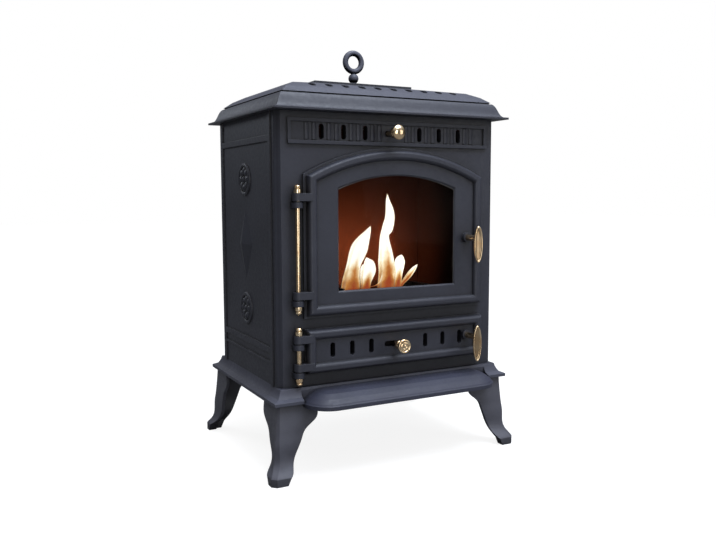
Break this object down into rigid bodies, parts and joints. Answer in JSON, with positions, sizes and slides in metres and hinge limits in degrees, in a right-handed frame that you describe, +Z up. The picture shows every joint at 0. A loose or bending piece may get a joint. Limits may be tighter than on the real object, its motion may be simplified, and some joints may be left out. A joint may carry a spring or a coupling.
{
  "type": "bioethanol stove",
  "caption": "Free-standing cast iron stove with hinged arched glass door, hinged ash door, air slides, brass handles, splayed legs, lift-off cover and an inner bioethanol burner.",
  "frame": {"origin": "on the floor under the middle of the whole object, between the four feet", "axes": "+Z up, front with the doors towards -Y, +X to the right seen from the front"},
  "size_m": [0.489, 0.4014, 0.7401],
  "materials": {
    "cast_iron": "matte charcoal",
    "polished_brass": "polished",
    "plain_steel": "zinc plated",
    "burner_steel": "heat stained satin",
    "door_glass": "clear",
    "rope_seal": "knitted glass fibre",
    "ceramic_wool": "matte fibre"
  },
  "bodies": {
    "stove_body": {"base_plate": "cast_iron", "hearth_ledge": "cast_iron", "ledge_screws": "plain_steel", "front_left_leg": "cast_iron", "front_right_leg": "cast_iron", "rear_left_leg": "cast_iron", "rear_right_leg": "cast_iron", "leg_bolts": "plain_steel", "front_frame": "cast_iron", "left_side_panel": "cast_iron", "right_side_panel": "cast_iron", "back_panel": "cast_iron", "top_moulding": "cast_iron", "tie_rods": "burner_steel", "tie_rod_nuts": "burner_steel", "firebox_shelf": "cast_iron", "rear_liner": "cast_iron", "burner_box": "burner_steel", "burner_wool": "ceramic_wool", "upper_hinge_rod": "polished_brass", "lower_hinge_rod": "polished_brass", "hinge_caps": "polished_brass", "hinge_washers": "cast_iron", "frieze_slide_rails": "plain_steel", "frieze_rail_screws": "plain_steel"},
    "cover": {"top_cover": "cast_iron", "lifting_ring": "cast_iron", "ring_nut": "plain_steel"},
    "fire_door": {"fire_door_frame": "cast_iron", "fire_door_rope": "rope_seal", "door_glass": "door_glass", "glass_gasket": "rope_seal", "glass_clips": "plain_steel", "clip_screws": "plain_steel"},
    "fire_handle": {"fire_handle_grip": "polished_brass", "fire_handle_spindle": "plain_steel", "fire_latch_cam": "plain_steel", "fire_latch_nut": "plain_steel"},
    "ash_door": {"ash_door_panel": "cast_iron", "ash_door_rope": "rope_seal", "ash_slide_rails": "plain_steel"},
    "ash_handle": {"ash_handle_grip": "polished_brass", "ash_handle_spindle": "plain_steel", "ash_latch_cam": "plain_steel", "ash_latch_nut": "plain_steel"},
    "ash_air_slide": {"ash_slide_plate": "plain_steel", "ash_knob": "polished_brass", "ash_knob_nut": "plain_steel"},
    "frieze_air_slide": {"frieze_slide_plate": "plain_steel", "frieze_knob": "polished_brass", "frieze_knob_nut": "plain_steel"},
    "snuffer": {"snuffer_slide": "burner_steel"}
  },
  "joints": [
    {"name": "fire_door_swing", "type": "hinge", "parent": "stove_body", "child": "fire_door", "pos_m": [-0.184, -0.14325, 0.38], "axis": [0, 0, -1], "range_deg": [0, 110]},
    {"name": "fire_handle_turn", "type": "hinge", "parent": "fire_door", "child": "fire_handle", "pos_m": [0.147, -0.15575, 0.393], "axis": [0, 1, 0], "range_deg": [0, 90]},
    {"name": "ash_door_swing", "type": "hinge", "parent": "stove_body", "child": "ash_door", "pos_m": [-0.184, -0.14325, 0.209], "axis": [0, 0, -1], "range_deg": [0, 110]},
    {"name": "ash_handle_turn", "type": "hinge", "parent": "ash_door", "child": "ash_handle", "pos_m": [0.147, -0.15575, 0.214], "axis": [0, 1, 0], "range_deg": [0, 90]},
    {"name": "ash_air_slide_travel", "type": "slide", "parent": "ash_door", "child": "ash_air_slide", "axis": [1, 0, 0], "range_m": [-0.016, 0]},
    {"name": "frieze_air_slide_travel", "type": "slide", "parent": "stove_body", "child": "frieze_air_slide", "axis": [1, 0, 0], "range_m": [0, 0.02]},
    {"name": "cover_lift", "type": "slide", "parent": "stove_body", "child": "cover", "axis": [0, 0, 1], "range_m": [0, 0.12]},
    {"name": "snuffer_travel", "type": "slide", "parent": "stove_body", "child": "snuffer", "axis": [0, -1, 0], "range_m": [0, 0.032]}
  ]
}
